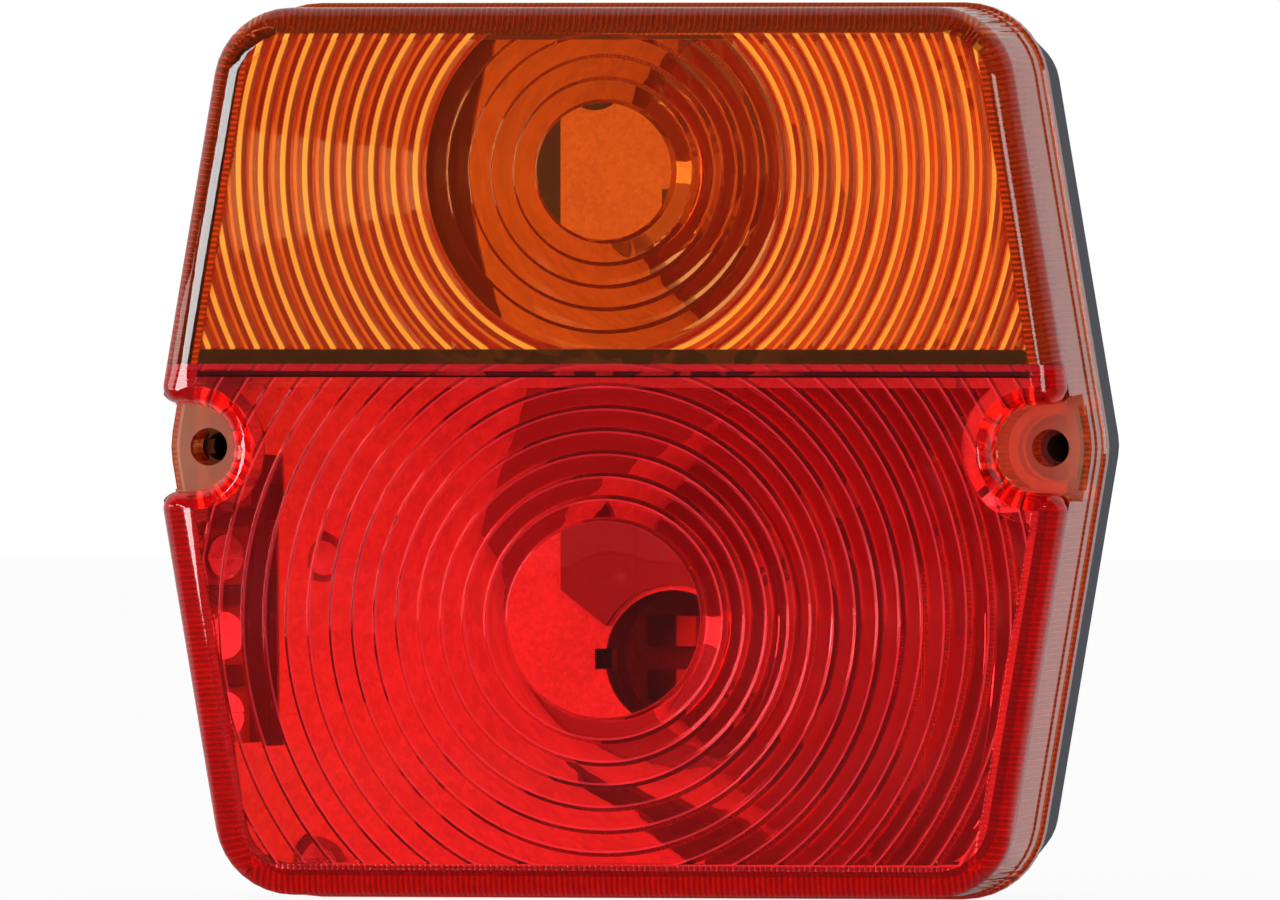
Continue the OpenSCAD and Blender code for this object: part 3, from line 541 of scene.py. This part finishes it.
def red_plastic():
    """Steps with a dark line of painted shade at their start and a pale painted highlight at
    their end.
    """
    painted_step_shade, plain, painted_red_highlight = (0.10, 0.003, 0.004), (0.80, 0.02, 0.03), (1.0, 0.28, 0.36)
    # Painted shade at each step's start, painted highlight at its end
    rings = ((RED_STEPS, RING_RIM, bands((0.15, painted_step_shade, 0.55),
                                         (0.90, plain, sizes().ring_haze),
                                         (1.0, painted_red_highlight, 0.45))),)
    return clear_plastic("red_acrylic", tint=tuple(colours().red),
                         body=tuple(colours().red_body), shade=RED_SHADE, fluted=0.3,
                         middle=RED_MIDDLE, rings=rings, wall_z=RED_WALL, tongue_z=TONGUE_Z)


def housing_plastic():
    finish = Finish("housing_plastic")
    grain = finish.noise(sizes().grain, 3.0, 0.6)
    cloud = finish.noise(14 * MM, 3.0)
    base = tuple(colours().housing)
    wear_and_foot_shade = tuple(1.2 * c for c in base)
    return finish.surface(
        Base_Color=finish.blend(cloud.step(0.35, 0.75), base, wear_and_foot_shade),
        Roughness=0.62 + cloud * 0.16, Normal=finish.bump(grain, 0.02 * MM),
        Specular_IOR_Level=0.25)


def zinc_sheet(name, bright, shaded_foot):
    """Galvanised steel of some brightness; the last argument paints shade on it below the
    chambers' wall, as in that wall's shadow.
    """
    finish = Finish(name)
    crystal = finish.axes(finish.crystals(sizes().spangle))[0]
    grain = finish.noise(0.35 * MM, 4.0, 0.65)
    cloud = finish.noise(9 * MM, 3.0)
    base = tuple(bright * c for c in colours().zinc)
    dull = tuple(0.72 * c for c in base)
    tone = crystal * 0.2 + grain * 0.5 + cloud * 0.3
    skin = finish.blend(tone.step(0.3, 0.7), dull, base)
    if shaded_foot:
        # Painted shade: the sheet is darkened below the chambers' wall, as in that wall's shadow
        height = finish.axes(finish.place())[2]
        wear_and_foot_shade = tuple(0.3 * c for c in base)
        skin = finish.blend((1 - height.step(3 * MM, 7 * MM)) * 0.85, skin, wear_and_foot_shade)
    return finish.surface(
        Base_Color=skin, Metallic=0.5,
        Roughness=0.45 + crystal * 0.1 + grain * 0.1,
        Normal=finish.bump(grain * 0.7 + crystal * 0.3, 0.02 * MM))


def plated_steel(name, base, rough):
    """Plated metal with faint clouds; rough is its roughness where it is cleanest."""
    finish = Finish(name)
    cloud = finish.noise(2.2 * MM, 3.0)
    fine = finish.noise(0.2 * MM, 2.0)
    dull = tuple(0.75 * c for c in base)
    return finish.surface(
        Base_Color=finish.blend(cloud.step(0.3, 0.7), dull, base), Metallic=1.0,
        Roughness=rough + cloud * 0.12, Normal=finish.bump(fine, 0.006 * MM))


def strip_brass():
    """Rolled brass strip with fine lines along it and brown tarnish."""
    finish = Finish("strip_brass")
    stretched = finish.node("ShaderNodeMapping", {}, {
        "Vector": finish.place(), "Scale": (250.0, 4000.0, 4000.0)})
    lines = finish.node("ShaderNodeTexNoise", {}, {
        "Vector": stretched, "Scale": 1.0, "Detail": 2.0})
    tarnish = finish.noise(5 * MM, 3.0)
    base = tuple(colours().brass)
    brown = (0.16, 0.10, 0.045)
    return finish.surface(
        Base_Color=finish.blend(tarnish.step(0.5, 0.8) * 0.7, base, brown), Metallic=1.0,
        Roughness=0.38 + tarnish * 0.2, Normal=finish.bump(lines, 0.01 * MM))


def paper_laminate():
    finish = Finish("board_laminate")
    fibre = finish.noise(0.5 * MM, 4.0, 0.7)
    cloud = finish.noise(7 * MM, 2.0)
    base = tuple(colours().laminate)
    pale = tuple(1.7 * c for c in base)
    return finish.surface(
        Base_Color=finish.blend((fibre * 0.7 + cloud * 0.3).step(0.35, 0.7), base, pale),
        Roughness=0.38 + fibre * 0.2, Normal=finish.bump(fibre, 0.01 * MM))


def black_mould(name, base, rough, grain, depth):
    """Dark plastic, rubber or foam, with grain of some size and depth."""
    finish = Finish(name)
    fine = finish.noise(grain, 3.0, 0.6)
    cloud = finish.noise(5 * MM, 2.0)
    pale = tuple(1.8 * c for c in base)
    return finish.surface(
        Base_Color=finish.blend(cloud.step(0.4, 0.8), base, pale), Roughness=rough + cloud * 0.1,
        Normal=finish.bump(fine, depth), Specular_IOR_Level=0.4)


class LAMP_OT_windows(bpy.types.Operator):
    """Shows the amber and the red window as clear, smoothly rounded plastic"""

    bl_idname = "lamp.windows"
    bl_label = "Windows"

    def execute(self, context):
        amber = smoothed("amber_lens", "amber_window")
        red = smoothed("red_lens", "red_window")
        dress(amber_plastic(), amber)
        dress(red_plastic(), red)
        return {"FINISHED"}


class LAMP_OT_housing(bpy.types.Operator):
    """Shows the housing with its matt moulded skin, and its seal and grommet"""

    bl_idname = "lamp.housing"
    bl_label = "Housing"

    def execute(self, context):
        shell = smoothed("housing", "housing_shell")
        dress(housing_plastic(), shell)
        dress(black_mould("seal_foam", (0.045, 0.045, 0.047), 0.8, 0.3 * MM, 0.06 * MM),
              *nodes("lens_seal"))
        dress(black_mould("grommet_rubber", (0.018, 0.018, 0.018), 0.55, 0.4 * MM, 0.01 * MM),
              *nodes("cable_grommet"))
        return {"FINISHED"}


class LAMP_OT_carriers(bpy.types.Operator):
    """Gives the bulb carriers their galvanised skin and the sockets their plating"""

    bl_idname = "lamp.carriers"
    bl_label = "Carriers and sockets"

    def execute(self, context):
        # The upper carrier gets painted shade on its foot below the chambers' wall
        dress(zinc_sheet("galvanised_upper", 1.05, True), *nodes("indicator_carrier"))
        dress(zinc_sheet("galvanised_lower", 1.25, False), *nodes("stop_tail_carrier"))
        dress(plated_steel("socket_steel", (0.42, 0.41, 0.39), 0.30),
              *nodes("indicator_socket", "stop_tail_socket"))
        return {"FINISHED"}


class LAMP_OT_contacts(bpy.types.Operator):
    """Finishes the contact boards, springs, ground strip and terminals"""

    bl_idname = "lamp.contacts"
    bl_label = "Contacts and terminals"

    def execute(self, context):
        dress(paper_laminate(), *nodes("indicator_board", "stop_tail_board"))
        dress(strip_brass(), *nodes("indicator_contact", "stop_contact", "tail_contact",
                                    "ground_strip", "terminal_clamps"))
        dress(black_mould("block_plastic", (0.02, 0.02, 0.021), 0.4, 0.3 * MM, 0.01 * MM),
              *nodes("terminal_block"))
        return {"FINISHED"}


class LAMP_OT_fasteners(bpy.types.Operator):
    """Finishes the bolts, screws and rivets"""

    bl_idname = "lamp.fasteners"
    bl_label = "Bolts, screws and rivets"

    def execute(self, context):
        dress(plated_steel("yellow_zinc", (0.66, 0.56, 0.33), 0.28), *nodes("mounting_bolts"))
        dress(plated_steel("bright_zinc", (0.66, 0.67, 0.68), 0.22),
              *nodes("carrier_screws", "terminal_screws"))
        dress(plated_steel("rivet_aluminium", (0.80, 0.80, 0.80), 0.34),
              *nodes("carrier_rivets", "board_rivets"))
        return {"FINISHED"}


class LAMP_OT_stage(bpy.types.Operator):
    """Sets up the floor, the white room, the soft lamps and the camera"""

    bl_idname = "lamp.stage"
    bl_label = "Studio"

    def execute(self, context):
        scene = context.scene
        scene.view_settings.view_transform = "Standard"
        low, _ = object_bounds()
        only()
        bpy.ops.mesh.primitive_plane_add(size=6, location=(0, 0, low.z))
        floor = context.object
        floor.name = "studio_floor"
        dress(self.paper(), floor)
        floor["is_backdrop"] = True
        self.surroundings(scene)
        self.lamps(context)
        self.camera(context)
        return {"FINISHED"}

    def paper(self):
        """White paper that still keeps a share of the object's shadow."""
        finish = Finish("studio_floor")
        tone = finish.noise(0.4, 2.0)
        base = tuple(colours().floor)
        matt = finish.node("ShaderNodeBsdfPrincipled", {}, {
            "Base Color": finish.blend(tone, base, tuple(0.985 * c for c in base)),
            "Roughness": 0.8})
        rays = finish.node("ShaderNodeLightPath").socket.node.outputs
        camera, glossy, through = (Value(finish, rays[name]) for name in RAYS)
        gloss = gloss_at(finish.axes(finish.place())[1].step(-0.05, 0.0))
        white = finish.node("ShaderNodeEmission", {}, {
            "Color": (1, 1, 1), "Strength": 1 - glossy * (1 - gloss)})
        return finish.close(finish.mixed(camera.most(through).most(glossy) * FLOOR_WHITE,
                                         matt, white))

    def surroundings(self, scene):
        """White behind the lamp; in shiny surfaces the camera's side is nearly dark."""
        finish = Finish("room", world=True)
        rays = finish.node("ShaderNodeLightPath").socket.node.outputs
        camera, glossy, through = (Value(finish, rays[name]) for name in RAYS)
        way = finish.node("ShaderNodeTexCoord", out="Generated")
        gloss = gloss_at(finish.axes(way)[1].step(-0.15, 0.15))
        white = camera.most(through)
        strength = white + (1 - white) * (glossy * gloss + (1 - glossy) * studio().room)
        scene.world = finish.close(finish.node("ShaderNodeBackground", {}, {
            "Color": (1, 1, 1), "Strength": strength}))

    def lamps(self, context):
        """A soft lamp left of the camera, a dim one at the side, a tall one at the right."""
        face = Vector((0, FACE_Y, 0))
        for name, turn, away, size, watts in LAMPS:
            way = way_to(math.radians(turn))
            only()
            bpy.ops.object.light_add(type="AREA", location=face + way * away)
            lamp = context.object
            lamp.name = name
            lamp.data.shape = "RECTANGLE"
            lamp.data.size, lamp.data.size_y = size
            lamp.data.energy = watts
            lamp.rotation_euler = (-way).to_track_quat("-Z", "Y").to_euler()

    def camera(self, context):
        way = way_to(studio().turn, studio().rise)
        only()
        bpy.ops.object.camera_add(location=AIM + way * studio().distance)
        camera = context.object
        camera.name = "photo_camera"
        camera.data.sensor_width = 36
        camera.data.lens = studio().focal
        camera.data.clip_start, camera.data.clip_end = 0.1, 20
        camera.rotation_euler = (-way).to_track_quat("-Z", "Y").to_euler()
        context.scene.camera = camera


class LAMP_PT_panel(bpy.types.Panel):
    """Lists the steps that finish the lamp"""

    bl_idname = "LAMP_PT_panel"
    bl_label = "Tail light cluster"
    bl_space_type = "VIEW_3D"
    bl_region_type = "UI"
    bl_category = "Lamp"

    def draw(self, context):
        for step in STEPS:
            self.layout.operator(step.bl_idname)
        for group in (context.scene.lamp_sizes, context.scene.lamp_colours,
                      context.scene.lamp_studio):
            box = self.layout.box()
            for name in group.bl_rna.properties.keys():
                if name not in ("rna_type", "name"):
                    box.prop(group, name)


STEPS = (LAMP_OT_windows, LAMP_OT_housing, LAMP_OT_carriers, LAMP_OT_contacts,
         LAMP_OT_fasteners, LAMP_OT_stage)
CLASSES = (LampSizes, LampColours, StudioSizes, *STEPS, LAMP_PT_panel)


def register():
    for cls in CLASSES:
        bpy.utils.register_class(cls)
    bpy.types.Scene.lamp_sizes = bpy.props.PointerProperty(type=LampSizes)
    bpy.types.Scene.lamp_colours = bpy.props.PointerProperty(type=LampColours)
    bpy.types.Scene.lamp_studio = bpy.props.PointerProperty(type=StudioSizes)


def unregister():
    del bpy.types.Scene.lamp_sizes, bpy.types.Scene.lamp_colours, bpy.types.Scene.lamp_studio
    for cls in reversed(CLASSES):
        bpy.utils.unregister_class(cls)


def main():
    register()
    bpy.ops.lamp.windows()
    bpy.ops.lamp.housing()
    bpy.ops.lamp.carriers()
    bpy.ops.lamp.contacts()
    bpy.ops.lamp.fasteners()
    bpy.ops.lamp.stage()


if __name__ == "__main__":
    main()
